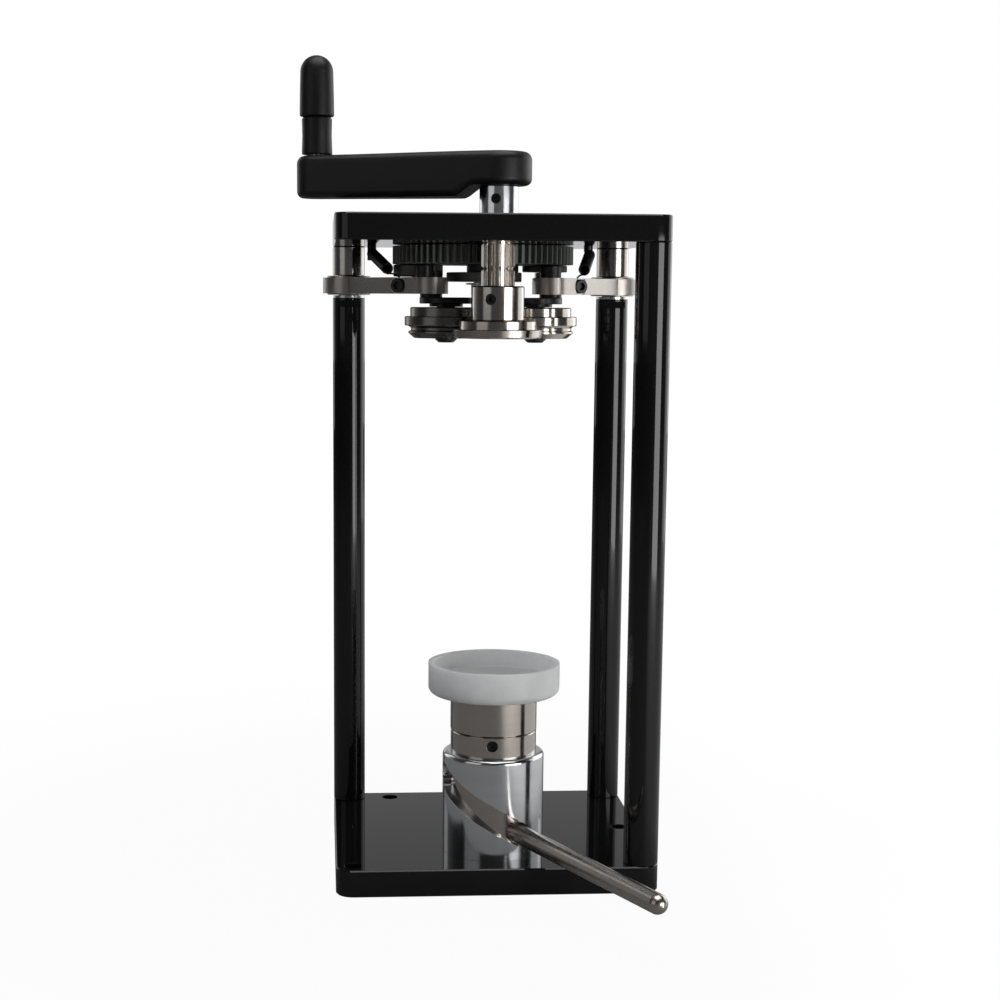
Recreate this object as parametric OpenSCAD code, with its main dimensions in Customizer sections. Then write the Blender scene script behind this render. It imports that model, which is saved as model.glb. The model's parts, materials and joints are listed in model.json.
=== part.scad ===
// Hand-cranked can seamer: two plates on three columns, a cranked chuck with a
// pinion, a gear with two cams, two swinging arms with seaming rolls, and a
// lever-operated lift that carries a turning can cup.
// Millimetres. The origin is the centre of the base plate's underside,
// +X is right, -Y is the front and +Z is up.

/* [Frame] */
// Width of both plates, left to right
plate_w = 200; // [196:1:210]
// Depth of both plates, front to back
plate_d = 176; // [172:1:186]
// Thickness of the base plate
base_t = 17; // [15:0.5:20]
// Thickness of the top plate
top_t = 16; // [15:0.5:20]
// Height of the columns between the plates
column_h = 380; // [340:5:420]
// Diameter of the columns, and of the rounded plate corners
column_d = 21.5; // [20:0.5:22]
// Diameter of the fixing holes in the base plate
mount_hole_d = 11; // [8:0.5:12]
// Chamfer along the plate edges
edge = 0.8; // [0.4:0.1:1.2]

/* [Crank] */
// Distance from the main axis to the grip's axis
crank_reach = 115; // [100:1:130]
// Angle of the crank arm behind the left-right line
crank_angle = 17; // [0:1:40]
// Diameter of the crank's hub end
crank_hub_d = 40; // [36:1:44]
// Diameter of the crank's grip end
crank_end_d = 25; // [23:0.5:28]
// Diameter of the collar under the crank
crank_collar_d = 23.5; // [22:0.5:26]
// Diameter of the upper part of the grip
grip_d = 21.3; // [19:0.1:24]
// Height of the grip above the crank arm
grip_h = 59.8; // [55:0.2:75]

/* [Seaming head] */
// Distance of the main axis in front of the plates' centre
axis_front = 41.5; // [41:0.5:42]
// Diameter of the chuck plate that enters the can lid
chuck_d = 55.3; // [52:0.1:55.5]
// Diameter of the collar above the chuck
chuck_collar_d = 32.6; // [30:0.2:34]
// Distance of each seaming roll from the middle plane
roll_x = 28.5; // [28.5:0.5:30]
// Distance of each seaming roll behind the plates' centre
roll_y = 4; // [4:0.5:6]
// Largest diameter of the seaming rolls
roll_d = 52.8; // [50:0.2:53]
// Throw of the eccentric roll spindles
spindle_throw = 9.6; // [9:0.1:9.8]
// Thickness of the swinging arms
arm_t = 10.5; // [10:0.1:10.6]
// Width of the swinging arms
arm_w = 21.5; // [20:0.5:22]

/* [Can lift] */
// Diameter of the slotted lift cylinder
cylinder_d = 64; // [63:0.5:66]
// Height of the slotted lift cylinder above the base plate
cylinder_h = 64; // [63:1:70]
// Diameter of the lift piston
piston_d = 54; // [52:0.5:54]
// Diameter of the lift lever
lever_d = 12; // [10:0.5:12]
// Reach of the lift lever from the main axis
lever_reach = 186; // [150:1:200]
// Angle of the lowered lever, to the right of straight ahead
lever_angle = 25; // [20:1:30]
// Angle through which the lever turns to lift the can
lever_sweep = 105; // [90:1:105]
// Rise of the piston for each degree of lever turn
rise_per_degree = 0.316; // [0.28:0.002:0.316]
// Outer diameter of the can cup
cup_d = 82.6; // [76:0.2:90]
// Height of the can cup
cup_h = 19.6; // [15:0.1:20]
// Depth of the cup's recess
cup_recess = 11; // [8:0.5:12]
// Thickness of the cup's wall
cup_wall = 3.5; // [2.5:0.1:5]

/* [Hidden] */
$fn = 96;
slip = 0.05;         // radial running clearance
gap = 0.3;           // clearance between parts of different bodies

// Frame levels and places
base_top = base_t;
top_under = base_t + column_h;
top_top = top_under + top_t;
column_r = column_d / 2;
column_x = plate_w / 2 - column_r;
column_y = plate_d / 2 - column_r;
axis_y = -axis_front;
corners = [[-1, 1], [1, 1], [1, -1]];
mount_holes = [[-column_x, -column_y], [-61, 76], [88, -2]];
column_thread_d = 8;
cylinder_screw_circle_r = 18;
collar_screw_turn = 14;
chuck_screw_turn = 20.8;
pivot_pin_d = 14;

// Head levels, all hung from the top plate
gear_top = top_under - 0.6;
gear_bottom = top_under - 12;
cam_joint = top_under - 17;
cam_bottom = top_under - 23;
arm_bottom = top_under - 30.9;
arm_top = arm_bottom + arm_t;
boss_bottom = arm_bottom - 0.9;
boss_top = arm_top + 1.2;
shoulder = boss_bottom - 2;
washer_t = 1.7;
flange_top = top_under - 33;
flange_t = 4;
neck_bottom = flange_top - flange_t - 1.9;
roll_top = neck_bottom - 0.3;
roll_bottom = top_under - 58.6;
collar_top = top_under - 26;
collar_bottom = top_under - 47;
chuck_step = top_under - 52.2;
chuck_bottom = top_under - 57.6;
crank_bottom = top_top + 18.1;
crank_top = crank_bottom + 20.1;
crank_step = 6.8;
grip_base = crank_top - 0.3;

// Arms
journal_x = roll_x + spindle_throw;
journal_d = 14.2;
spindle_flange_d = 34;
roll_pin_d = 12;
arm_root_d = 34.6;
boss_d = 28.8;
follower_y = 27.5;
follower_at = [[-45.2, follower_y], [37, follower_y]];
follower_d = [32, 29];
follower_z = [[arm_top + 0.5, gear_bottom - 0.4], [cam_joint + 0.4, gear_bottom - 0.4]];
follower_pin_d = 8;
spring_screw_along = 66;
spring_screw_turn = 22;
spring_post = [[-74, 68], [71.2, 68]];
spring_post_z = top_under - 4.5;
spring_d = 7.6;
spring_hook = [[-65.4, 13], [61, 15]];
lock_offset = [[-4.4, -5.6], [0, 0]];
lock_head_d = [11.8, 13.4];
lock_head_h = 8;
arm_dir = [column_x - journal_x, column_y - roll_y];
arm_len = norm(arm_dir);
arm_turn = atan2(arm_dir[1], arm_dir[0]);

// Shafts and gears
pinion_teeth = 12;
gear_teeth = 76;
gear_module = 1.5;
shaft_d = 15;
pinion_top = top_under - 0.6;
gear_distance = gear_module * (pinion_teeth + gear_teeth) / 2;
gear_x = -3.6;
gear_y = axis_y + sqrt(gear_distance * gear_distance - gear_x * gear_x);
mesh_turn = atan2(axis_y - gear_y, -gear_x); // direction from the gear to the pinion
stud_d = 12;
gear_bush_d = 16;
cam_shift = [0.9, 6.4];
cam_d = [48.6, 33.4];
cam_screw_turns = [0, 75, 285];
cam_screw_circle_r = 12.8;
tooth_backlash = 0.3; // part of each tooth's width left as play

// Lift
cylinder_floor = base_top + 6;
cylinder_top = base_top + cylinder_h;
lever_z = base_top + 17;
lift_rise = rise_per_degree * lever_sweep;
lever_root = 14;
slot_half = lever_d / 2 + 1.3;
slot_rise_angle = atan(rise_per_degree * 180 / PI / (cylinder_d / 2));
slot_half_z = slot_half / cos(slot_rise_angle);
piston_bottom = cylinder_floor + 1;
cup_bottom = 117.6;
piston_top = 94.4;
spindle_d = 16;
hub_d = piston_d + 0.4;
hub_bottom = piston_top + 0.4;
hub_seat = piston_top + 3;
piston_screw_z = piston_top - 5.3;
piston_screw_turn = 6.6;

// ---- Shared shapes ----

module ring(outer_d, inner_d, z0, z1) {
    translate([0, 0, z0]) difference() {
        cylinder(h = z1 - z0, d = outer_d);
        translate([0, 0, -1]) cylinder(h = z1 - z0 + 2, d = inner_d);
    }
}

module rod(d, z0, z1) {
    translate([0, 0, z0]) cylinder(h = z1 - z0, d = d);
}

// A turned rod with a chamfer c at both ends
module turned_rod(d, z0, z1, c) {
    r = d / 2;
    rotate_extrude() polygon([[0, z0], [r - c, z0], [r, z0 + c], [r, z1 - c], [r - c, z1], [0, z1]]);
}

module hex_socket(across, depth) {
    translate([0, 0, -depth]) cylinder(h = depth + 1, d = across / cos(30), $fn = 6);
}

// Cap screw with its head standing on z = 0 and its shank below
module cap_screw(d, length, head_d, head_h) {
    chamfer = head_h * 0.12;
    difference() {
        rotate_extrude() polygon([
            [0, -length], [d / 2, -length], [d / 2, 0], [head_d / 2, 0],
            [head_d / 2, head_h - chamfer], [head_d / 2 - chamfer, head_h], [0, head_h]
        ]);
        translate([0, 0, head_h]) hex_socket(head_d * 0.5, head_h * 0.55);
    }
}

// Countersunk screw with its top flush at z = 0
module flat_screw(d, length, head_d) {
    cone = (head_d - d) / 2;
    difference() {
        rotate_extrude() polygon([[0, -length], [d / 2, -length], [d / 2, -cone], [head_d / 2, 0], [0, 0]]);
        hex_socket(d * 0.6, cone * 0.9);
    }
}

// Space for a countersunk screw
module flat_screw_hole(d, length, head_d) {
    cone = (head_d - d) / 2;
    rotate_extrude() polygon([[0, -length], [d / 2, -length], [d / 2, -cone], [head_d / 2, 0],
        [head_d / 2, 1], [0, 1]]);
}

// Headless screw whose outer end is at z = 0
module set_screw(d, length) {
    difference() {
        translate([0, 0, -length]) cylinder(h = length, d = d);
        hex_socket(d * 0.5, length * 0.4);
    }
}

// Turns +Z outwards at an angle to the left of straight ahead
module facing_front(angle_left) {
    rotate([0, 0, -angle_left]) rotate([90, 0, 0]) children();
}

module at_axis() {
    translate([0, axis_y, 0]) children();
}

module at_gear() {
    translate([gear_x, gear_y, 0]) children();
}

module cylinder_screw_circle() {
    for (turn = [90, 210, 330]) rotate([0, 0, turn]) translate([cylinder_screw_circle_r, 0, 0]) children();
}

module at_corner(corner) {
    translate([corner[0] * column_x, corner[1] * column_y, 0]) children();
}

// ---- Frame ----

function plate_section(w, t) = [
    [-w / 2 + edge, 0], [w / 2 - edge, 0], [w / 2, edge], [w / 2, t - edge],
    [w / 2 - edge, t], [-w / 2 + edge, t], [-w / 2, t - edge], [-w / 2, edge]
];

// Plate with round corners that match the columns
module corner_plate(t) {
    for (x = [-1, 1], y = [-1, 1])
        translate([x * column_x, y * column_y, 0]) turned_rod(column_d, 0, t, edge);
    rotate([90, 0, 90]) linear_extrude(2 * column_x, center = true) polygon(plate_section(plate_d, t));
    rotate([90, 0, 0]) linear_extrude(2 * column_y, center = true) polygon(plate_section(plate_w, t));
}

module base_plate() {
    color("#151617") difference() {
        corner_plate(base_t);
        for (place = mount_holes)
            translate([place[0], place[1], -1]) cylinder(h = base_t + 2, d = mount_hole_d);
        for (corner = corners) at_corner(corner) {
            rod(column_thread_d + 1, -1, base_t + 1);
            rod(15, -1, 9);
        }
        at_axis() cylinder_screw_circle() {
            rod(7, -1, base_t + 1);
            rod(11.5, -1, 7);
        }
    }
}

module top_plate() {
    color("#151617") difference() {
        translate([0, 0, top_under]) corner_plate(top_t);
        at_axis() rod(22, top_under - 1, top_top + 1);
        translate([0, 0, top_top]) {
            for (corner = corners) at_corner(corner) flat_screw_hole(column_thread_d + 0.6, top_t + 1, 17);
            at_gear() flat_screw_hole(stud_d + 0.1, top_t + 1, 21);
        }
    }
}

module column_front_right() {
    color("#131415") at_corner(corners[2]) difference() {
        turned_rod(column_d, base_top, top_under, 0.4);
        rod(column_thread_d + 0.2, base_top - 1, base_top + 24);
        rod(column_thread_d + 0.2, top_under - 20, top_under + 1);
    }
}

// Rear column: a full-size shank with spanner flats below a turned pivot pin
module pivot_column(corner) {
    flat_y = 7.3;
    flat_h = 4.2;
    at_corner(corner) difference() {
        union() {
            turned_rod(column_d, base_top, shoulder, 0.4);
            rod(pivot_pin_d, shoulder, top_under);
        }
        rod(column_thread_d + 0.2, base_top - 1, base_top + 24);
        rod(column_thread_d + 0.2, top_under - 20, top_under + 1);
        for (side = [-1, 1])
            translate([-column_d, side * (flat_y + 5) - 5, shoulder - flat_h - 1.6])
                cube([2 * column_d, 10, flat_h]);
    }
}

module column_rear_right() {
    color("#131415") pivot_column(corners[1]);
}

module column_rear_left() {
    color("#131415") pivot_column(corners[0]);
}

module column_base_screws() {
    color("#1c1c1e") for (corner = corners)
        at_corner(corner) translate([0, 0, 9]) rotate([180, 0, 0]) cap_screw(column_thread_d, 30, 13, 8);
}

module column_top_screws() {
    color("#1c1c1e") for (corner = corners)
        at_corner(corner) translate([0, 0, top_top]) flat_screw(column_thread_d, 32, 16);
}

module pivot_washers() {
    color("#c9ccce") for (corner = [corners[0], corners[1]])
        at_corner(corner) ring(column_d - 0.4, pivot_pin_d + 0.1, shoulder, shoulder + washer_t);
}

module pivot_sleeve(corner) {
    at_corner(corner) difference() {
        turned_rod(column_d, boss_top + gap, top_under, 0.4);
        rod(pivot_pin_d + 0.1, boss_top, top_under + 1);
    }
}

module pivot_sleeve_left() {
    color("#8f8b86") pivot_sleeve(corners[0]);
}

module pivot_sleeve_right() {
    color("#8f8b86") pivot_sleeve(corners[1]);
}

module shaft_bush() {
    color("#b5893f") at_axis() ring(22, shaft_d + 2 * slip, top_under, top_top);
}

module countershaft_stud() {
    color("#8a8d90") at_gear() translate([0, 0, top_top]) {
        flat_screw(stud_d, top_top - cam_bottom + 0.6, 20);
        rod(8, cam_bottom - 8.6 - top_top, cam_bottom - 0.6 - top_top);
    }
}

module countershaft_nut() {
    nut_top = cam_bottom - 1.9;
    color("#5b5f62") at_gear() {
        ring(22, 8.1, nut_top, cam_bottom - 0.7);
        difference() {
            translate([0, 0, nut_top - 6.5]) cylinder(h = 6.5, d = 13 / cos(30), $fn = 6);
            rod(8.1, nut_top - 8, nut_top + 1);
        }
    }
}

module spring_posts() {
    color("#2a2b2d") for (place = spring_post)
        translate([place[0], place[1], 0]) rotate_extrude() polygon([
            [0, top_under - 9], [2.6, top_under - 9], [3, top_under - 8.6], [3, top_under - 6.6],
            [2, top_under - 6], [2, top_under - 3], [3, top_under - 2.4], [3, top_under], [0, top_under]
        ]);
}

// ---- Crank and chuck ----

module crank_plan() {
    root = crank_hub_d / 2;
    tip = crank_end_d / 2;
    lean = asin((root - tip) / crank_reach);
    circle(r = root);
    translate([crank_reach, 0]) circle(r = tip);
    polygon([
        [root * sin(lean), root * cos(lean)], [root * sin(lean), -root * cos(lean)],
        [crank_reach + tip * sin(lean), -tip * cos(lean)], [crank_reach + tip * sin(lean), tip * cos(lean)]
    ]);
}

// Side view of the crank arm: the grip end is deeper than the hub end
function crank_side() = [
    [-crank_hub_d, crank_bottom], [12.5, crank_bottom], [25, crank_bottom - crank_step],
    [crank_reach + crank_end_d, crank_bottom - crank_step], [crank_reach + crank_end_d, grip_base - 0.8],
    [crank_reach - 20, grip_base - 0.6], [0, crank_top], [-crank_hub_d, crank_top]
];

module at_crank() {
    at_axis() rotate([0, 0, 180 - crank_angle]) children();
}

module crank_arm() {
    color("#161617") difference() {
        at_crank() difference() {
            intersection() {
                translate([0, 0, crank_bottom - 10]) linear_extrude(40) crank_plan();
                rotate([90, 0, 0]) linear_extrude(2 * crank_hub_d, center = true) polygon(crank_side());
            }
            rod(shaft_d, crank_bottom - 1, crank_top - 6);
            translate([0, 0, crank_top]) flat_screw_hole(8.2, 8, 16.4);
            translate([crank_reach, 0, 0]) rod(8, crank_bottom - 2, crank_top);
        }
        at_axis() rod(crank_collar_d + 0.2, crank_bottom - 9, crank_bottom);
    }
}

module crank_collar() {
    color("#c8cbcd") at_axis() difference() {
        turned_rod(crank_collar_d, top_top + 0.4, crank_bottom, 0.6);
        rod(shaft_d, top_top - 1, crank_bottom + 1);
        translate([0, 0, top_top + 10]) facing_front(collar_screw_turn) rod(6, 0, 20);
    }
}

module collar_set_screw() {
    color("#2b2d30") at_axis() translate([0, 0, top_top + 10]) facing_front(collar_screw_turn)
        translate([0, 0, crank_collar_d / 2 - 1]) set_screw(6, 2.9);
}

module hub_screw() {
    color("#2b2d30") at_axis() translate([0, 0, crank_top]) flat_screw(8, 22, 16);
}

// Half-angle of a tooth at radius r, for an involute with a 20 degree pressure angle
function involute(a) = tan(a) * 180 / PI - a;
function half_tooth(r, teeth, play) =
    let (pitch_r = gear_module * teeth / 2, base_r = pitch_r * cos(20))
    90 / teeth * (1 - play) + involute(20) - involute(r > base_r ? acos(base_r / r) : 0);

function polar(r, a) = [r * cos(a), r * sin(a)];

// Outline of a gear with a tooth centred on +X
function gear_outline(teeth, root_r, tip_r, play) =
    let (pitch_r = gear_module * teeth / 2, steps = [root_r, max(root_r, pitch_r * 0.975), pitch_r, tip_r])
    [for (i = [0:teeth - 1]) each concat(
        [for (r = steps) polar(r, i * 360 / teeth - half_tooth(r, teeth, play))],
        [for (k = [3:-1:0]) polar(steps[k], i * 360 / teeth + half_tooth(steps[k], teeth, play))]
    )];

module pinion_shaft() {
    tip_r = 10.4;
    root_r = 7.2;
    neck_z = collar_top + 10.5;
    color("#d0ccc6") at_axis() difference() {
        union() {
            intersection() {
                translate([0, 0, collar_top]) linear_extrude(pinion_top - collar_top)
                    rotate([0, 0, 180 + mesh_turn])
                        polygon(gear_outline(pinion_teeth, root_r, tip_r, tooth_backlash));
                rotate_extrude() polygon([
                    [0, collar_top], [tip_r, collar_top], [tip_r, neck_z - 1.6], [8.4, neck_z],
                    [tip_r, neck_z + 1.6], [tip_r, pinion_top - 1], [tip_r - 1, pinion_top], [0, pinion_top]
                ]);
            }
            rod(shaft_d, pinion_top, crank_top - 6.2);
            rod(shaft_d, chuck_step + 0.4, collar_top);
        }
        rod(8, crank_top - 24, crank_top);
        rod(6, chuck_step - 1, chuck_step + 16);
    }
}

module chuck_collar() {
    color("#8c8884") at_axis() difference() {
        turned_rod(chuck_collar_d, collar_bottom, collar_top, 0.7);
        rod(shaft_d, collar_bottom - 1, collar_top + 1);
        translate([0, 0, collar_top - 8]) facing_front(chuck_screw_turn) rod(6.7, 0, 30);
    }
}

module chuck_set_screw() {
    color("#26282a") at_axis() translate([0, 0, collar_top - 8]) facing_front(chuck_screw_turn)
        translate([0, 0, chuck_collar_d / 2 - 1.6]) set_screw(6.7, 6);
}

module chuck() {
    step_r = 23.5;
    chuck_r = chuck_d / 2;
    color("#a9a49e") at_axis() difference() {
        rotate_extrude() polygon([
            [0, chuck_bottom], [chuck_r - 1.4, chuck_bottom], [chuck_r - 0.6, chuck_bottom + 0.8],
            [chuck_r, chuck_step - 0.4], [chuck_r - 0.4, chuck_step], [step_r, chuck_step],
            [step_r, collar_bottom - 0.4], [step_r - 0.4, collar_bottom], [0, collar_bottom]
        ]);
        rod(shaft_d, chuck_step + 0.4, collar_bottom + 1);
        rod(6.4, chuck_bottom - 1, chuck_step + 1);
        rod(11, chuck_bottom - 1, chuck_bottom + 3.5);
        ringed_recess();
    }
}

// Shallow recess in the chuck's face
module ringed_recess() {
    ring(40, 22, chuck_bottom - 1, chuck_bottom + 1.2);
}

module chuck_screw() {
    color("#2b2d30") at_axis() translate([0, 0, chuck_bottom + 3.5]) rotate([180, 0, 0])
        cap_screw(6, 14, 10, 3.4);
}

module at_grip() {
    at_crank() translate([crank_reach, 0, 0]) children();
}

module grip_axle() {
    color("#7d8083") at_grip() rotate_extrude() polygon([
        [0, crank_bottom - 2], [4, crank_bottom - 2], [4, grip_base + 44], [6, grip_base + 44],
        [6, grip_base + 46.4], [5.4, grip_base + 47], [0, grip_base + 47]
    ]);
}

module grip_sleeve() {
    color("#151516") at_grip() difference() {
        turned_rod(grip_d - 2.4, grip_base, grip_base + 23, 0.8);
        rod(8 + 2 * slip, grip_base - 1, grip_base + 24);
    }
}

module grip_cap() {
    grip_r = grip_d / 2;
    cap_base = grip_base + 23;
    dome_z = grip_base + grip_h - grip_r;
    color("#151516") at_grip() difference() {
        union() {
            turned_rod(grip_d, cap_base, dome_z, 0.8);
            rod(grip_d, dome_z - 2, dome_z);
            translate([0, 0, dome_z]) sphere(r = grip_r);
        }
        rod(8 + 2 * slip, cap_base - 1, grip_base + 44);
        rod(13, grip_base + 43.6, grip_base + 47.6);
    }
}

// ---- Cam gear ----

module cam_gear() {
    pitch_r = gear_module * gear_teeth / 2;
    color("#59605a") at_gear() difference() {
        translate([0, 0, gear_bottom]) linear_extrude(gear_top - gear_bottom) difference() {
            rotate([0, 0, mesh_turn + 180 / gear_teeth])
                polygon(gear_outline(gear_teeth, pitch_r - 1.9, pitch_r + 1.2, tooth_backlash));
            circle(d = gear_bush_d);
            cam_screw_circle() circle(d = 4);
        }
        ring(96, 44, gear_top - 1.5, gear_top + 1);
    }
}

module cam_screw_circle() {
    for (turn = cam_screw_turns) rotate([0, 0, turn]) translate([cam_screw_circle_r, 0]) children();
}

module cam(z0, z1, index) {
    at_gear() translate([0, 0, z0]) difference() {
        translate([cam_shift[index], 0, 0]) turned_rod(cam_d[index], 0, z1 - z0, 0.5);
        rod(gear_bush_d, -1, z1 - z0 + 1);
        cam_screw_circle() rod(4, -1, z1 - z0 + 1);
    }
}

module upper_cam() {
    color("#596660") cam(cam_joint, gear_bottom, 1);
}

module lower_cam() {
    color("#59605a") difference() {
        cam(cam_bottom, cam_joint, 0);
        at_gear() cam_screw_circle() rod(7.4, cam_bottom - 1, cam_bottom + 3.6);
    }
}

module gear_bush() {
    color("#b5893f") at_gear() ring(gear_bush_d, stud_d + 2 * slip, cam_bottom, gear_top);
}

module cam_screws() {
    color("#2b2d30") at_gear() cam_screw_circle() translate([0, 0, cam_bottom + 3.6])
        rotate([180, 0, 0]) cap_screw(4, 15, 7, 3.4);
}

// ---- Swinging arms: side 0 is left, side 1 is right ----

function sign_of(side) = side == 0 ? -1 : 1;

module at_pivot(side) {
    translate([sign_of(side) * column_x, column_y, 0]) children();
}

module at_journal(side) {
    translate([sign_of(side) * journal_x, roll_y, 0]) children();
}

module at_roll(side) {
    translate([sign_of(side) * roll_x, roll_y, 0]) children();
}

module at_follower(side) {
    translate([follower_at[side][0], follower_at[side][1], 0]) children();
}

// Frame of the screw on the arm's outer face: +Z points out of the face
module at_spring_screw(side) {
    s = sign_of(side);
    at_pivot(side) rotate([0, 0, side == 0 ? -arm_turn : 180 + arm_turn])
        translate([spring_screw_along, s * (arm_w / 2 - 3.2), (arm_bottom + arm_top) / 2])
            rotate([0, 0, side == 0 ? arm_turn - spring_screw_turn : 180 - arm_turn + spring_screw_turn])
                rotate([90, 0, 0]) children();
}

module arm_plan(side) {
    s = sign_of(side);
    translate([s * column_x, column_y]) circle(d = arm_root_d);
    translate([s * journal_x, roll_y]) circle(d = arm_w);
    translate([s * column_x, column_y]) rotate(side == 0 ? -arm_turn : 180 + arm_turn)
        translate([0, -arm_w / 2]) square([arm_len, arm_w]);
    translate(follower_at[side]) circle(d = 16);
}

module arm(side) {
    difference() {
        union() {
            translate([0, 0, arm_bottom]) linear_extrude(arm_t) arm_plan(side);
            at_pivot(side) turned_rod(boss_d, boss_bottom, boss_top, 0.5);
        }
        at_pivot(side) rod(18, boss_bottom - 1, boss_top + 1);
        at_journal(side) {
            rod(journal_d, arm_bottom - 1, arm_top + 1);
            if (side == 0) translate(lock_offset[0]) rod(6, arm_bottom - 1, arm_top + 1);
        }
        at_follower(side) rod(follower_pin_d, arm_bottom - 1, arm_top + 1);
        at_spring_screw(side) {
            rod(5, -12, 1);
            rod(13, 0, 20);
        }
    }
}

module left_arm() {
    color("#77726c") arm(0);
}

module right_arm() {
    color("#77726c") arm(1);
}

module bush(side) {
    at_pivot(side) ring(18, pivot_pin_d + 2 * slip, boss_bottom, boss_top);
}

module left_bush() {
    color("#b5893f") bush(0);
}

module right_bush() {
    color("#b5893f") bush(1);
}

// Eccentric spindle: the journal is clamped in the arm, the pin carries the roll
module spindle(side) {
    difference() {
        union() {
            at_journal(side) rod(journal_d, flange_top, side == 0 ? arm_top + 4 : arm_top);
            at_roll(side) {
                turned_rod(spindle_flange_d, flange_top - flange_t, flange_top, 0.4);
                rod(21.4, neck_bottom, flange_top - flange_t);
                rod(roll_pin_d, roll_bottom, neck_bottom);
            }
        }
        at_roll(side) rod(6, roll_bottom - 1, roll_bottom + 15);
        at_journal(side) translate(lock_offset[side]) {
            if (side == 0) {
                rod(6, arm_bottom, arm_top + 5);
                rod(lock_head_d[0] + 0.4, arm_top, arm_top + 5);
            } else rod(6, arm_bottom - 1, arm_top + 1);
        }
    }
}

module left_spindle() {
    color("#1b1b1d") spindle(0);
}

module right_spindle() {
    color("#1b1b1d") spindle(1);
}

module lock_screw(side) {
    at_journal(side) translate([lock_offset[side][0], lock_offset[side][1], arm_top])
        cap_screw(6, 9.8, lock_head_d[side], lock_head_h);
}

module left_lock_screw() {
    color("#161618") lock_screw(0);
}

module right_lock_screw() {
    color("#161618") lock_screw(1);
}

module spring_screw(side) {
    at_spring_screw(side) cap_screw(5, 11, 9.2, 5);
}

module left_spring_screw() {
    color("#161618") spring_screw(0);
}

module right_spring_screw() {
    color("#161618") spring_screw(1);
}

module follower_pin(side) {
    top = follower_z[side][1];
    at_follower(side) {
        rod(follower_pin_d, arm_bottom, top);
        if (side == 1) rod(13, arm_top, follower_z[side][0] - 0.3);
    }
}

module left_follower_pin() {
    color("#8a8d90") follower_pin(0);
}

module right_follower_pin() {
    color("#8a8d90") follower_pin(1);
}

module follower(side) {
    at_follower(side) difference() {
        turned_rod(follower_d[side], follower_z[side][0], follower_z[side][1], 0.5);
        rod(follower_pin_d + 2 * slip, follower_z[side][0] - 1, follower_z[side][1] + 1);
    }
}

module left_follower() {
    color("#596660") follower(0);
}

module right_follower() {
    color("#596660") follower(1);
}

// Seaming roll: a top ring, a wide flange, a seaming groove and a chamfered ring
module roll(side) {
    flange_r = roll_d / 2;
    groove = side == 0 ? 1.6 : 0.9;
    flange_z = roll_bottom + 7.8;
    at_roll(side) difference() {
        rotate_extrude() polygon([
            [0, roll_bottom], [20.4, roll_bottom], [24, roll_bottom + 3.2], [24, roll_bottom + 4.2],
            [24 - groove, roll_bottom + 5], [24 - groove, roll_bottom + 6.4], [24.4, flange_z],
            [flange_r - 0.5, flange_z], [flange_r, flange_z + 0.5],
            [flange_r, flange_z + 5.4], [flange_r - 0.5, flange_z + 5.9], [22.9, flange_z + 5.9],
            [22.9, roll_top - 0.6], [22.3, roll_top], [0, roll_top]
        ]);
        rod(roll_pin_d + 2 * slip, roll_bottom - 1, roll_top + 1);
    }
}

module left_roll() {
    color("#4c4a47") roll(0);
}

module right_roll() {
    color("#8d8984") roll(1);
}

module roll_screw(side) {
    head_z = roll_bottom - 0.3;
    at_roll(side) difference() {
        rotate_extrude() polygon([
            [0, head_z - 2.5], [4.8, head_z - 2.5], [6.9, head_z - 0.6], [6.9, head_z],
            [3, head_z], [3, head_z + 12], [0, head_z + 12]
        ]);
        translate([0, 0, head_z - 2.5]) rotate([180, 0, 0]) hex_socket(5, 1.6);
    }
}

module left_roll_screw() {
    color("#161618") roll_screw(0);
}

module right_roll_screw() {
    color("#161618") roll_screw(1);
}

// Outer shape of the return spring, from the arm's screw to the post
module spring(side) {
    low = [spring_hook[side][0], spring_hook[side][1], arm_top + 5.2];
    high = [spring_post[side][0], spring_post[side][1] - 6, spring_post_z];
    run = high - low;
    span = norm(run);
    translate(low) rotate([0, acos(run[2] / span), atan2(run[1], run[0])]) cylinder(h = span, d = spring_d);
}

module left_spring() {
    color("#121213") spring(0);
}

module right_spring() {
    color("#121213") spring(1);
}

// ---- Can lift ----

// Places on the slot's centre line: lever angle and height after a part of the sweep
function slot_angle(part) = lever_angle - lever_sweep * part - 90;
function slot_z(part) = lever_z + lift_rise * part;

// Cutter for the helical slot: a band of constant height with two round ends
module helical_slot() {
    steps = 42;
    inner_r = piston_d / 2 - 4;
    outer_r = cylinder_d / 2 + 4;
    points = [for (i = [0:steps]) let (a = slot_angle(i / steps), z = slot_z(i / steps)) each [
        [inner_r * cos(a), inner_r * sin(a), z - slot_half_z],
        [outer_r * cos(a), outer_r * sin(a), z - slot_half_z],
        [outer_r * cos(a), outer_r * sin(a), z + slot_half_z],
        [inner_r * cos(a), inner_r * sin(a), z + slot_half_z]
    ]];
    sides = [for (i = [0:steps - 1], k = [0:3])
        let (a = 4 * i + k, b = 4 * i + (k + 1) % 4) each [[a, a + 4, b + 4], [a, b + 4, b]]];
    last = 4 * steps;
    ends = [[0, 1, 2], [0, 2, 3], [last + 2, last + 1, last], [last + 3, last + 2, last]];
    polyhedron(points, concat(sides, ends));
    for (part = [0, 1]) rotate([0, 0, slot_angle(part)])
        translate([inner_r, 0, slot_z(part)]) rotate([0, 90, 0])
            cylinder(h = outer_r - inner_r, r = slot_half);
}

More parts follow.
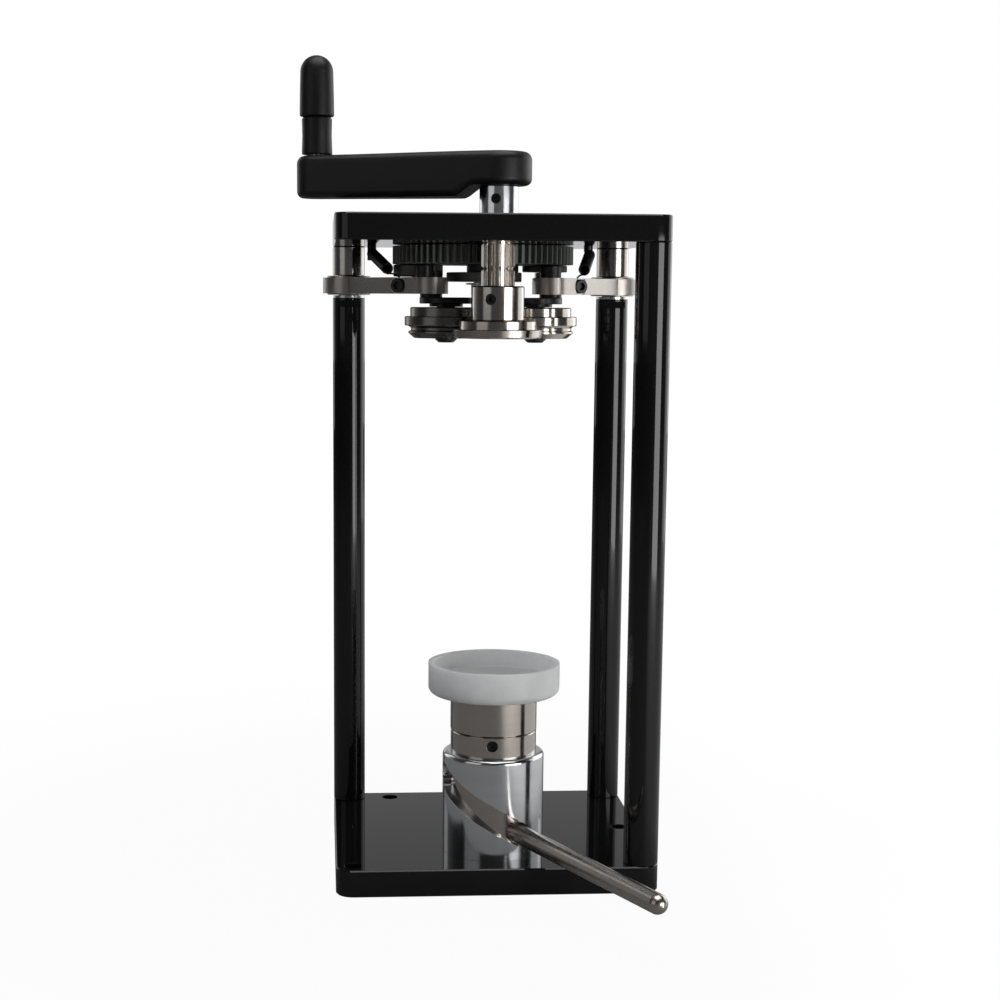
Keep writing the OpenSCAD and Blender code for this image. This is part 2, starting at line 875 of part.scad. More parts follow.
module lift_cylinder() {
    outer_r = cylinder_d / 2;
    bore_r = piston_d / 2 + slip;
    lip = 3;
    color("#c4c7ca") at_axis() difference() {
        rotate_extrude() union() {
            difference() {
                translate([0, base_top]) square([outer_r, cylinder_h]);
                translate([outer_r - lip, cylinder_top - lip]) square(lip + 1);
            }
            translate([outer_r - lip, cylinder_top - lip]) intersection() {
                circle(r = lip);
                square(lip + 1);
            }
        }
        rod(2 * bore_r, cylinder_floor, cylinder_top + 1);
        helical_slot();
        cylinder_screw_circle() rod(6, base_top - 1, cylinder_floor + 1);
    }
}

module cylinder_screws() {
    color("#1c1c1e") at_axis() cylinder_screw_circle() translate([0, 0, 7]) rotate([180, 0, 0])
        cap_screw(6, cylinder_floor - 7.5, 10, 6);
}

// Fixed centre spindle of the lift: it rises but doesn't turn
module lift_spindle() {
    head_z = hub_seat + 5;
    color("#9a9c9e") at_axis() rotate_extrude() polygon([
        [0, piston_bottom + 4], [7, piston_bottom + 4], [8, piston_bottom + 5], [8, piston_top - 4],
        [17, piston_top - 4], [17, piston_top - 1], [8, piston_top - 1], [8, head_z + 7],
        [7, head_z + 8], [0, head_z + 8]
    ]);
}

module lift_piston() {
    color("#8e8780") at_axis() difference() {
        turned_rod(piston_d, piston_bottom, piston_top, 0.5);
        rod(spindle_d + 2 * slip, piston_bottom + 2, piston_top + 1);
        rod(35, piston_top - 4.3, piston_top + 1);
        rotate([0, 0, slot_angle(0)]) translate([lever_root, 0, lever_z]) rotate([0, 90, 0])
            cylinder(h = 20, d = lever_d);
        translate([0, 0, piston_screw_z]) facing_front(piston_screw_turn) rod(7, 20, 40);
    }
}

module piston_set_screw() {
    color("#26282a") at_axis() translate([0, 0, piston_screw_z]) facing_front(piston_screw_turn)
        translate([0, 0, piston_d / 2 - 2.6]) set_screw(7, 4);
}

module lever_rod() {
    straight = lever_reach - lever_root - lever_d / 2;
    color("#8f8a83") at_axis() rotate([0, 0, slot_angle(0)]) translate([lever_root, 0, lever_z])
        rotate([0, 90, 0]) {
            cylinder(h = straight, d = lever_d);
            translate([0, 0, straight]) sphere(d = lever_d);
        }
}

// Ball thrust bearing that lets the cup turn on the spindle's collar
module thrust_bearing() {
    ball_z = piston_top + 1.3;
    color("#b9bcbe") at_axis() {
        ring(33, spindle_d, piston_top - 1, piston_top + 0.2);
        for (i = [0:11]) rotate([0, 0, 30 * i]) translate([12, 0, ball_z]) sphere(d = 2, $fn = 24);
    }
}

module turntable_hub() {
    color("#8e8780") at_axis() difference() {
        union() {
            turned_rod(hub_d, hub_bottom, cup_bottom, 0.5);
            rod(20, cup_bottom - 1, cup_bottom + 3);
        }
        rod(spindle_d + 2 * slip, hub_bottom - 1, hub_seat + 14);
        rod(36, hub_bottom - 1, hub_seat - 0.6);
    }
}

module can_cup() {
    cup_r = cup_d / 2;
    recess_r = cup_r - cup_wall;
    floor_z = cup_bottom + cup_h - cup_recess;
    rim_z = cup_bottom + cup_h;
    fillet = 4.5;
    color("#c9cdcf") at_axis() difference() {
        rotate_extrude() union() {
            difference() {
                translate([0, cup_bottom]) square([cup_r, cup_h]);
                translate([cup_r - fillet, cup_bottom - 1]) square([fillet + 1, fillet + 1]);
            }
            translate([cup_r - fillet, cup_bottom + fillet]) intersection() {
                circle(r = fillet);
                translate([0, -fillet]) square(fillet);
            }
        }
        rotate_extrude() polygon([
            [0, floor_z], [recess_r - 1, floor_z], [recess_r, floor_z + 1], [recess_r, rim_z - 0.8],
            [recess_r + 0.8, rim_z], [recess_r + 0.8, rim_z + 1], [0, rim_z + 1]
        ]);
        rod(20, cup_bottom - 1, cup_bottom + 3);
    }
}

base_plate();
top_plate();
column_front_right();
column_rear_right();
column_rear_left();
column_base_screws();
column_top_screws();
pivot_washers();
pivot_sleeve_left();
pivot_sleeve_right();
lift_cylinder();
cylinder_screws();
shaft_bush();
countershaft_stud();
countershaft_nut();
spring_posts();
crank_arm();
crank_collar();
collar_set_screw();
hub_screw();
pinion_shaft();
chuck_collar();
chuck_set_screw();
chuck();
chuck_screw();
grip_axle();
grip_sleeve();
grip_cap();
cam_gear();
upper_cam();
lower_cam();
gear_bush();
cam_screws();
left_arm();
left_bush();
left_spindle();
left_lock_screw();
left_spring_screw();
left_follower_pin();
left_follower();
left_roll();
left_roll_screw();
left_spring();
right_arm();
right_bush();
right_spindle();
right_lock_screw();
right_spring_screw();
right_follower_pin();
right_follower();
right_roll();
right_roll_screw();
right_spring();
lift_spindle();
lift_piston();
piston_set_screw();
lever_rod();
thrust_bearing();
turntable_hub();
can_cup();
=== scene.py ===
import json
import math

import bmesh
import bpy
from mathutils import Matrix, Vector

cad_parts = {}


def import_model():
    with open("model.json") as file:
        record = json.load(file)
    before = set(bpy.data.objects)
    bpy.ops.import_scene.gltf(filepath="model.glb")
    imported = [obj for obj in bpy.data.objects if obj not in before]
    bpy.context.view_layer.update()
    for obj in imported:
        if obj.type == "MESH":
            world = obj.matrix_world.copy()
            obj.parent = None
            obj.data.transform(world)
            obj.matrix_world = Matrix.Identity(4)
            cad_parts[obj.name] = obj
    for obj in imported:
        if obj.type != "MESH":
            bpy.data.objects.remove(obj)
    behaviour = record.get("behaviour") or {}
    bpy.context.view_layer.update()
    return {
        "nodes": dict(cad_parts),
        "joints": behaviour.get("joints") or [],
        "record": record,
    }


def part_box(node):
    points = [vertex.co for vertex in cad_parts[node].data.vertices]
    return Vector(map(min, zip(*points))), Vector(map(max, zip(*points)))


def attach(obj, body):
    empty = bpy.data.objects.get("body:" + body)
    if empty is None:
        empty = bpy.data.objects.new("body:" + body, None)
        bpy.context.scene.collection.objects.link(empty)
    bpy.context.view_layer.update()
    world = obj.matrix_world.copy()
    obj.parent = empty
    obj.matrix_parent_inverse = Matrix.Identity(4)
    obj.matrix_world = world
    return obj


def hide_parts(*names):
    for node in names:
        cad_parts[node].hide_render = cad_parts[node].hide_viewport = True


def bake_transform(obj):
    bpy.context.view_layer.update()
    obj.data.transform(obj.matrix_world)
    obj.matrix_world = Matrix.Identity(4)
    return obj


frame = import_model()

MM = 0.001

# ---- Camera ----
CAMERA_PLACE = (-0.10731, -1.15448, 0.36532)
CAMERA_HEADING = 3.70            # degrees to the right of +Y
CAMERA_PITCH = -8.287            # degrees above the horizon
CAMERA_ROLL = 0.331
CAMERA_LENS = 65.13              # for a 36 mm sensor
CAMERA_SHIFT = (0.0614, 0.0587)

# ---- Crank arm and grip ----
CRANK_HUB_R = 20 * MM
CRANK_END_R = 12.5 * MM
CRANK_STEP = 6.8 * MM            # how much deeper the arm is away from its hub
CRANK_STEP_FROM = 12.5 * MM
CRANK_STEP_TO = 25 * MM
CRANK_TOP_FALL = 1.1 * MM        # fall of the arm's top from hub to grip
CRANK_FILLET_TOP = 5.0 * MM
CRANK_FILLET_BOTTOM = 4.0 * MM
CRANK_HUB_STEPS = 48
CRANK_SIDE_STEPS = 40
CRANK_END_STEPS = 40
CRANK_FILLET_STEPS = 7
CRANK_FLAT_SHARES = [0, 0.3, 0.6, 0.85]     # rows of the flat faces, as shares of the radius
SEAT_DEPTH = 4.4 * MM            # of the hub screw's seat
SEAT_GAP = 0.3 * MM              # around the hub screw's head
SEAT_OVERSHOOT = 2 * MM          # of the cutter, above the arm
SLEEVE_EDGE = 0.8 * MM
SLEEVE_WAIST = 0.35 * MM         # how much less radius the sleeve has at its middle
SLEEVE_SHOULDER = 0.1 * MM       # and below its neck
SLEEVE_NECK = 0.9 * MM           # and at its neck, under the cap
SLEEVE_NECK_FROM = 1.6 * MM      # below the sleeve's top
SLEEVE_NECK_TO = 0.7 * MM
CAP_EDGE = 1.0 * MM
CAP_WAIST = 0.15 * MM            # how much less radius the cap has at CAP_WAIST_HEIGHT
CAP_WAIST_HEIGHT = 12 * MM
CAP_DRAFT = 0.5 * MM             # and at its dome

# ---- Springs ----
SPRING_OUTER_D = 7.6 * MM
SPRING_WIRE_D = 1.15 * MM
SPRING_PITCH = 1.32 * MM
SPRING_STEPS_PER_TURN = 18
HOOK_CLEARANCE = 0.2 * MM        # over the arm's screw
HOOK_RISE = 0.9 * MM
POST_LOOP_R = 2.75 * MM
POST_LOOP_TURN = 0.86            # share of a full turn
POST_LOOP_STEPS = 20
ROD_FIT_ROUNDS = 30

# ---- Mesh detail ----
WELD_DISTANCE = 1e-6
TURNED_SEGMENTS = 96
SEAT_SEGMENTS = 64
WEIGHTED_NORMAL_SHARE = 90

# ---- Studio ----
FLOOR_RADIUS = 9.0
FLOOR_SEGMENTS = 96
FLOOR_PAINTED_SHADE = 0.25                 # painted shade: how much light the floor returns, on its left, darker where less light falls
FLOOR_PAINTED_LIGHT = 0.8               # painted light: and on its right, lighter where the right-hand lights fall
# Where the floor's painted light runs from dark on the left to light on the right, as X in metres
FLOOR_PAINTED_LIGHT_FROM, FLOOR_PAINTED_LIGHT_TO = 0.096, 0.224
FLOOR_GLOW = 1.02                # what the camera sees of the floor
FLOOR_GLOW_SHARE = (0.94, 1.0)   # near the object, and far from it
FLOOR_GLOW_NEAR, FLOOR_GLOW_FAR = 0.25, 0.8
OBJECT_MIDDLE = (0, -0.04, 0.26)
LIGHTS = [                       # name, place, what it points at, width and height, watts
    ("strip_right", (0.89, -1.06, 0.11), (0, -0.04, 0.11), (0.82, 0.66), 9.8),
    ("fill_left", (-1.5, -1.2, 0.9), OBJECT_MIDDLE, (1.3, 1.3), 2.8),
    ("overhead", (0.1, -0.2, 1.9), OBJECT_MIDDLE, (1.6, 1.6), 22),
    ("back_left", (-1.3, 1.5, 0.8), OBJECT_MIDDLE, (0.8, 1.4), 2.5),
    ("back_right", (1.4, 1.4, 0.8), OBJECT_MIDDLE, (0.8, 1.4), 4),
    ("side_right", (1.5, 0.62, 0.42), OBJECT_MIDDLE, (1.2, 1.4), 6.5),
]
ROOM_LEVELS = [                  # from the front (0) to the back (1), brightness
    (0.0, 0.11), (0.2, 0.05), (0.45, 0.05), (0.62, 0.1), (0.8, 0.4), (1.0, 0.6),
]
ROOM_BLUE = 1.02
ROOM_LOW, ROOM_HIGH = 1.0, 0.5   # strength near the horizon and overhead
ROOM_LOW_TO, ROOM_HIGH_FROM = 0.08, 0.35

joints = {joint["name"]: joint for joint in frame["joints"]}
slot_of = {sub["node"]: sub["material_slot"] for sub in frame["record"]["subparts"]}


# ---- Mesh helpers ----

def mesh_object(name, verts, faces):
    mesh = bpy.data.meshes.new(name)
    mesh.from_pydata([tuple(v) for v in verts], [], faces)
    work = bmesh.new()
    work.from_mesh(mesh)
    bmesh.ops.remove_doubles(work, verts=work.verts, dist=WELD_DISTANCE)
    bmesh.ops.recalc_face_normals(work, faces=work.faces)
    work.to_mesh(mesh)
    work.free()
    for face in mesh.polygons:
        face.use_smooth = True
    piece = bpy.data.objects.new(name, mesh)
    bpy.context.scene.collection.objects.link(piece)
    return piece


def loft(name, rings, closed_ends=True):
    """A skin over rings of equally many points."""
    count = len(rings[0])
    verts = [v for ring in rings for v in ring]
    faces = []
    for row in range(len(rings) - 1):
        for i in range(count):
            j = (i + 1) % count
            low, high = row * count, (row + 1) * count
            faces.append((low + i, low + j, high + j, high + i))
    if closed_ends:
        faces.append(tuple(range(count))[::-1])
        faces.append(tuple(range(len(verts) - count, len(verts))))
    return mesh_object(name, verts, faces)


def lathe(name, centre, profile, segments=TURNED_SEGMENTS):
    """Turns (radius, height) points about a vertical axis. The first and last radius are 0."""
    rings = []
    for radius, height in profile:
        turn = [2 * math.pi * i / segments for i in range(segments)]
        rings.append([(centre[0] + radius * math.cos(a), centre[1] + radius * math.sin(a), height)
                      for a in turn])
    return loft(name, rings, closed_ends=False)


def arc(centre, radius, start, end, steps=8):
    """(radius, height) points on an arc, angles in degrees from the outward direction."""
    angles = [math.radians(start + (end - start) * i / steps) for i in range(steps + 1)]
    return [(centre[0] + radius * math.cos(a), centre[1] + radius * math.sin(a)) for a in angles]


def tube(name, path, radius, sides=10):
    """A round wire along a path, with a frame that doesn't twist."""
    rings = []
    tangent = (path[1] - path[0]).normalized()
    side = tangent.orthogonal().normalized()
    for i, point in enumerate(path):
        ahead = path[min(i + 1, len(path) - 1)]
        behind = path[max(i - 1, 0)]
        tangent = (ahead - behind).normalized()
        side = (side - side.dot(tangent) * tangent).normalized()
        other = tangent.cross(side)
        angles = [2 * math.pi * k / sides for k in range(sides)]
        rings.append([point + radius * (math.cos(a) * side + math.sin(a) * other) for a in angles])
    return loft(name, rings)


def smoothstep(x, start, end):
    t = min(max((x - start) / (end - start), 0.0), 1.0)
    return t * t * (3 - 2 * t)


def weigh_normals(piece):
    piece.modifiers.new("weighted normals", "WEIGHTED_NORMAL").weight = WEIGHTED_NORMAL_SHARE


def cut(piece, cutter):
    """Cuts the cutter's shape out of the piece and removes the cutter."""
    step = piece.modifiers.new("cut", "BOOLEAN")
    step.operation = "DIFFERENCE"
    step.solver = "EXACT"
    step.object = cutter
    graph = bpy.context.evaluated_depsgraph_get()
    shaped = bpy.data.meshes.new_from_object(piece.evaluated_get(graph))
    piece.modifiers.remove(step)
    piece.data = shaped
    bpy.data.objects.remove(cutter)


# ---- Pieces ----

def crank_outline(reach):
    """(foot on the arm's axis, outward direction, radius there) around a tapered arm."""
    sine = (CRANK_HUB_R - CRANK_END_R) / reach
    edge_angle = math.pi / 2 - math.asin(sine)
    lower = (math.cos(edge_angle), -math.sin(edge_angle))
    upper = (math.cos(edge_angle), math.sin(edge_angle))
    straight = [i / CRANK_SIDE_STEPS for i in range(1, CRANK_SIDE_STEPS)]

    def side_point(share, outward):
        return share * reach, outward, CRANK_HUB_R + (CRANK_END_R - CRANK_HUB_R) * share

    points = []
    for i in range(CRANK_HUB_STEPS + 1):
        a = edge_angle + (2 * math.pi - 2 * edge_angle) * i / CRANK_HUB_STEPS
        points.append((0.0, (math.cos(a), math.sin(a)), CRANK_HUB_R))
    points += [side_point(share, lower) for share in straight]
    for i in range(CRANK_END_STEPS + 1):
        a = -edge_angle + 2 * edge_angle * i / CRANK_END_STEPS
        points.append((reach, (math.cos(a), math.sin(a)), CRANK_END_R))
    points += [side_point(share, upper) for share in reversed(straight)]
    return points


def crank_rows():
    """Rows from the middle of the underside to the middle of the top, each as
    (share of the radius inside the fillet, fillet offset, 'low' or 'high', lift off that face)."""
    quarter = [math.pi / 2 * i / CRANK_FILLET_STEPS for i in range(CRANK_FILLET_STEPS + 1)]
    rows = [(share, None, "low", 0.0) for share in CRANK_FLAT_SHARES]
    rows += [(1, CRANK_FILLET_BOTTOM * (math.sin(a) - 1), "low", CRANK_FILLET_BOTTOM * (1 - math.cos(a)))
             for a in quarter]
    rows += [(1, CRANK_FILLET_TOP * (math.cos(a) - 1), "high", CRANK_FILLET_TOP * (1 - math.sin(a)))
             for a in quarter]
    rows += [(share, None, "high", 0.0) for share in reversed(CRANK_FLAT_SHARES)]
    return rows


def crank_arm():
    """The moulded crank arm, with rounded edges and a stepped underside."""
    hub = Vector(joints["crank_spin"]["pos_m"][:2])
    grip = Vector(joints["grip_spin"]["pos_m"][:2])
    low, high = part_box("crank_arm")
    reach = (grip - hub).length
    along = (grip - hub).normalized()
    across = Vector((-along.y, along.x))
    rings = []
    for share, offset, face, lift in crank_rows():
        ring = []
        fillet = CRANK_FILLET_BOTTOM if face == "low" else CRANK_FILLET_TOP
        for foot, out, radius in crank_outline(reach):
            far = share * (radius - fillet) if offset is None else radius + offset
            x = foot + out[0] * far
            spot = hub + along * x + across * (out[1] * far)
            if face == "low":
                z = low.z + CRANK_STEP * (1 - smoothstep(x, CRANK_STEP_FROM, CRANK_STEP_TO)) + lift
            else:
                z = high.z - CRANK_TOP_FALL * smoothstep(x, 0, reach) - lift
            ring.append((spot.x, spot.y, z))
        rings.append(ring)
    arm = loft("crank_arm_moulding", rings, closed_ends=False)
    screw_low, screw_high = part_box("hub_screw")
    seat_r = (screw_high.x - screw_low.x) / 2 + SEAT_GAP
    seat_low, seat_high = high.z - SEAT_DEPTH, high.z + SEAT_OVERSHOOT
    seat = lathe("seat", hub, [(0, seat_low), (seat_r, seat_low), (seat_r, seat_high), (0, seat_high)],
                 SEAT_SEGMENTS)
    cut(arm, seat)
    weigh_normals(arm)
    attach(arm, "crank")
    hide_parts("crank_arm")
    return arm


def grip_pieces():
    """The two parts of the crank's grip, with soft shoulders and a slight taper."""
    low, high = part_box("grip_sleeve")
    centre = (low + high) / 2
    r = (high.x - low.x) / 2
    foot_r, neck_r = r - SLEEVE_EDGE, r - SLEEVE_NECK
    sleeve = lathe("grip_lower_sleeve", centre, [
        (0, low.z), (foot_r, low.z), *arc((foot_r, low.z + SLEEVE_EDGE), SLEEVE_EDGE, -90, 0),
        (r - SLEEVE_WAIST, centre.z), (r - SLEEVE_SHOULDER, high.z - SLEEVE_NECK_FROM),
        (neck_r, high.z - SLEEVE_NECK_TO), (neck_r, high.z), (0, high.z)])
    cap_low, cap_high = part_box("grip_cap")
    cap_r = (cap_high.x - cap_low.x) / 2
    dome = cap_r - CAP_DRAFT
    cap = lathe("grip_upper_cap", centre, [
        (0, cap_low.z), (cap_r - CAP_EDGE, cap_low.z),
        *arc((cap_r - CAP_EDGE, cap_low.z + CAP_EDGE), CAP_EDGE, -90, 0),
        (cap_r - CAP_WAIST, cap_low.z + CAP_WAIST_HEIGHT), (dome, cap_high.z - dome),
        *arc((0, cap_high.z - dome), dome, 3, 90, 24)])
    for piece, node in ((sleeve, "grip_sleeve"), (cap, "grip_cap")):
        weigh_normals(piece)
        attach(piece, "grip")
        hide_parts(node)
    return [sleeve, cap]


def rod_ends(node, diameter, side):
    """The two ends of a slanted round rod, from its box. The rod rises as it runs back and outwards."""
    low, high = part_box(node)
    size = high - low
    half = size / 2
    for _ in range(ROD_FIT_ROUNDS):
        unit = half.normalized()
        half = Vector([(size[i] - diameter * math.sqrt(max(0.0, 1 - unit[i] ** 2))) / 2 for i in range(3)])
    half = Vector((side * half.x, half.y, half.z))
    middle = (low + high) / 2
    return middle - half, middle + half


def spring(name, side):
    """A close-wound extension spring with a hook on the arm's screw and a loop round its post."""
    front, back = rod_ends(name + "_spring", SPRING_OUTER_D, side)
    axis = (back - front).normalized()
    up = (Vector((0, 0, 1)) - axis.z * axis).normalized()
    across = axis.cross(up)
    coil_r = (SPRING_OUTER_D - SPRING_WIRE_D) / 2
    wire_r = SPRING_WIRE_D / 2
    screw_low, screw_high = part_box(name + "_spring_screw")
    screw = (screw_low + screw_high) / 2
    hook_low = Vector((screw.x, screw.y, screw_high.z + wire_r + HOOK_CLEARANCE))
    coil_start = front + axis * wire_r
    coil_length = (back - front).length - SPRING_WIRE_D
    turns = coil_length / SPRING_PITCH
    steps = int(turns * SPRING_STEPS_PER_TURN)
    coil = []
    for i in range(steps + 1):
        a = 2 * math.pi * turns * i / steps - math.pi / 2
        centre = coil_start + axis * (coil_length * i / steps)
        coil.append(centre + coil_r * (math.sin(a) * up + math.cos(a) * across))
    dip = coil[0]
    hook = [hook_low.lerp(dip, t) + Vector((0, 0, HOOK_RISE)) * math.sin(math.pi * t)
            for t in (0, 0.2, 0.4, 0.6, 0.8)]
    posts_low, posts_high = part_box("spring_posts")
    post = (posts_low + posts_high) / 2
    post_r = (posts_high.y - posts_low.y) / 2
    post.x = posts_low.x + post_r if side < 0 else posts_high.x - post_r
    leave = coil[-1]
    toward = Vector((leave.x - post.x, leave.y - post.y, 0)).normalized()
    first = math.atan2(toward.y, toward.x)
    loop = [post + POST_LOOP_R * Vector((math.cos(first + a), math.sin(first + a), 0))
            for a in [2 * math.pi * POST_LOOP_TURN * i / POST_LOOP_STEPS for i in range(POST_LOOP_STEPS + 1)]]
    bridge = [leave.lerp(loop[0], t) for t in (0.35, 0.7)]
    piece = tube(name + "_return_spring", hook + coil + bridge + loop, wire_r)
    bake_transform(piece)
    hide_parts(name + "_spring")
    return piece


# ---- Material helpers ----

def new_material(name, colour, metallic, roughness):
    material = bpy.data.materials.new(name)
    material.use_nodes = True
    tree = material.node_tree
    shader = next(n for n in tree.nodes if n.type == "BSDF_PRINCIPLED")
    shader.inputs["Base Color"].default_value = (*colour, 1)
    shader.inputs["Metallic"].default_value = metallic
    shader.inputs["Roughness"].default_value = roughness
    return material, tree, shader


def place(tree, grain, centre=(0, 0, 0), turn=0.0):
    """Coordinates about a centre, turned about +Z, in units of the grain's size in metres."""
    source = tree.nodes.new("ShaderNodeTexCoord")
    mapping = tree.nodes.new("ShaderNodeMapping")
    mapping.vector_type = "TEXTURE"
    mapping.inputs["Location"].default_value = centre
    mapping.inputs["Rotation"].default_value = (0, 0, turn)
    mapping.inputs["Scale"].default_value = grain
    tree.links.new(source.outputs["Object"], mapping.inputs["Vector"])
    return mapping.outputs["Vector"]


def turned_place(tree, centre, grain):
    """Coordinates that only change with the distance from a vertical axis and with height."""
    about = place(tree, (1, 1, 1), centre)
    split = tree.nodes.new("ShaderNodeSeparateXYZ")
    flat = tree.nodes.new("ShaderNodeCombineXYZ")
    length = tree.nodes.new("ShaderNodeVectorMath")
    length.operation = "LENGTH"
    joined = tree.nodes.new("ShaderNodeCombineXYZ")
    scaled = tree.nodes.new("ShaderNodeVectorMath")
    scaled.operation = "SCALE"
    scaled.inputs["Scale"].default_value = 1 / grain
    tree.links.new(about, split.inputs["Vector"])
    tree.links.new(split.outputs["X"], flat.inputs["X"])
    tree.links.new(split.outputs["Y"], flat.inputs["Y"])
    tree.links.new(flat.outputs["Vector"], length.inputs[0])
    tree.links.new(length.outputs["Value"], joined.inputs["X"])
    tree.links.new(split.outputs["Z"], joined.inputs["Y"])
    tree.links.new(joined.outputs["Vector"], scaled.inputs[0])
    return scaled.outputs["Vector"]


def noise(tree, vector, detail=3.0, roughness=0.55):
    node = tree.nodes.new("ShaderNodeTexNoise")
    node.inputs["Scale"].default_value = 1.0
    node.inputs["Detail"].default_value = detail
    node.inputs["Roughness"].default_value = roughness
    tree.links.new(vector, node.inputs["Vector"])
    return node.outputs["Fac"]


def to_range(tree, value, low, high, start=0.3, end=0.7):
    node = tree.nodes.new("ShaderNodeMapRange")
    node.inputs["From Min"].default_value = start
    node.inputs["From Max"].default_value = end
    node.inputs["To Min"].default_value = low
    node.inputs["To Max"].default_value = high
    tree.links.new(value, node.inputs["Value"])
    return node.outputs["Result"]


def tint(tree, shader, value, dark, light, start=0.3, end=0.7):
    """Base colour that runs from dark to light as a value runs from start to end."""
    mix = tree.nodes.new("ShaderNodeMix")
    mix.data_type = "RGBA"       # the colour sockets are then inputs 6 and 7 and output 2
    mix.inputs[6].default_value = (*dark, 1)
    mix.inputs[7].default_value = (*light, 1)
    tree.links.new(to_range(tree, value, 0, 1, start, end), mix.inputs[0])
    tree.links.new(mix.outputs[2], shader.inputs["Base Color"])


def bump(tree, shader, heights, edge=0.0):
    """Bumps from (value, depth in metres), over edges that look rounded to that radius."""
    normal = None
    if edge:
        rounded = tree.nodes.new("ShaderNodeBevel")
        rounded.samples = 4
        rounded.inputs["Radius"].default_value = edge
        normal = rounded.outputs["Normal"]
    for value, depth in heights:
        node = tree.nodes.new("ShaderNodeBump")
        node.inputs["Strength"].default_value = 1.0
        node.inputs["Distance"].default_value = depth
        tree.links.new(value, node.inputs["Height"])
        if normal is not None:
            tree.links.new(normal, node.inputs["Normal"])
        normal = node.outputs["Normal"]
    tree.links.new(normal, shader.inputs["Normal"])


def scaled_colour(colour, factor):
    return tuple(min(1.0, c * factor) for c in colour)


# ---- Materials ----

def enamel(node):
    """Gloss black finish with faint ripple and a little dust."""
    material, tree, shader = new_material("black_enamel", (0.005, 0.005, 0.005), 0.0, 0.04)
    shader.inputs["IOR"].default_value = 1.42
    ripple = noise(tree, place(tree, (2.2 * MM,) * 3), 2.0)
    dust = noise(tree, place(tree, (0.5 * MM,) * 3), 4.0, 0.7)
    cloud = noise(tree, place(tree, (28 * MM,) * 3), 4.0)
    tint(tree, shader, dust, (0.0045, 0.0046, 0.0048), (0.0072, 0.0074, 0.0076))
    tree.links.new(to_range(tree, cloud, 0.03, 0.065), shader.inputs["Roughness"])
    bump(tree, shader, [(ripple, 0.0012 * MM)], 0.35 * MM)
    return material


def moulding(node):
    """Matte black moulded plastic with fine grain and a few handling marks."""
    material, tree, shader = new_material("black_moulding", (0.006, 0.006, 0.006), 0.0, 0.42)
    shader.inputs["Specular IOR Level"].default_value = 0.36
    grain = noise(tree, place(tree, (0.35 * MM,) * 3), 2.0)
    marks = noise(tree, place(tree, (9 * MM, 14 * MM, 9 * MM)), 5.0, 0.65)
    tint(tree, shader, marks, (0.004, 0.004, 0.0042), (0.0075, 0.0075, 0.008))
    tree.links.new(to_range(tree, marks, 0.36, 0.5), shader.inputs["Roughness"])
    bump(tree, shader, [(grain, 0.03 * MM)])
    return material


def nylon(node):
    """Milky translucent plastic with soft clouding and faint turning lines."""
    material, tree, shader = new_material("cup_nylon", (0.70, 0.72, 0.72), 0.0, 0.34)
    shader.inputs["Subsurface Weight"].default_value = 1.0
    shader.inputs["Subsurface Radius"].default_value = (22 * MM, 22 * MM, 23 * MM)
    shader.inputs["Subsurface Scale"].default_value = 1.0
    shader.inputs["IOR"].default_value = 1.45
    low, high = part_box(node)
    lines = noise(tree, turned_place(tree, (low + high) / 2, 0.5 * MM), 3.0)
    cloud = noise(tree, place(tree, (16 * MM,) * 3), 3.0)
    tint(tree, shader, cloud, (0.67, 0.69, 0.695), (0.75, 0.765, 0.765))
    tree.links.new(to_range(tree, cloud, 0.3, 0.42), shader.inputs["Roughness"])
    bump(tree, shader, [(lines, 0.008 * MM)], 0.5 * MM)
    return material


def turned(name, node, colour, rough, grain, depth, edge=0.25 * MM, spread=0.07):
    """Metal with turning lines about the node's own vertical axis."""
    material, tree, shader = new_material(f"{name}_{node}", colour, 1.0, rough)
    low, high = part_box(node)
    fine = noise(tree, turned_place(tree, (low + high) / 2, grain), 4.0, 0.6)
    broad = noise(tree, turned_place(tree, (low + high) / 2, grain * 9), 3.0)
    smear = noise(tree, place(tree, (13 * MM, 13 * MM, 22 * MM)), 4.0, 0.6)
    tint(tree, shader, broad, scaled_colour(colour, 0.94), scaled_colour(colour, 1.05))
    total = tree.nodes.new("ShaderNodeMath")
    total.operation = "ADD"
    tree.links.new(to_range(tree, fine, rough - spread / 2, rough + spread / 2), total.inputs[0])
    tree.links.new(to_range(tree, smear, -0.03, 0.05), total.inputs[1])
    tree.links.new(total.outputs["Value"], shader.inputs["Roughness"])
    bump(tree, shader, [(fine, depth)], edge)
    return material


def brushed(name, colour, rough, grain, turn=0.0, centre=(0, 0, 0), depth=0.012 * MM, edge=0.3 * MM,
            shades=(0.82, 1.14), spread=0.16):
    """Metal with brush lines along its own direction."""
    material, tree, shader = new_material(name, colour, 1.0, rough)
    lines = noise(tree, place(tree, grain, centre, turn), 4.0, 0.65)
    smear = noise(tree, place(tree, (15 * MM,) * 3), 4.0, 0.6)
    tint(tree, shader, lines, scaled_colour(colour, shades[0]), scaled_colour(colour, shades[1]))
    total = tree.nodes.new("ShaderNodeMath")
    total.operation = "ADD"
    tree.links.new(to_range(tree, lines, rough - spread / 2, rough + spread / 2), total.inputs[0])
    tree.links.new(to_range(tree, smear, -0.03, 0.06), total.inputs[1])
    tree.links.new(total.outputs["Value"], shader.inputs["Roughness"])
    bump(tree, shader, [(lines, depth)], edge)
    return material


def chrome(node):
    return turned("bright_chrome", node, (0.70, 0.715, 0.735), 0.14, 0.9 * MM, 0.0008 * MM, 0.3 * MM, 0.03)


def turned_steel(node):
    return turned("turned_steel", node, (0.50, 0.46, 0.42), 0.15, 0.22 * MM, 0.0014 * MM)


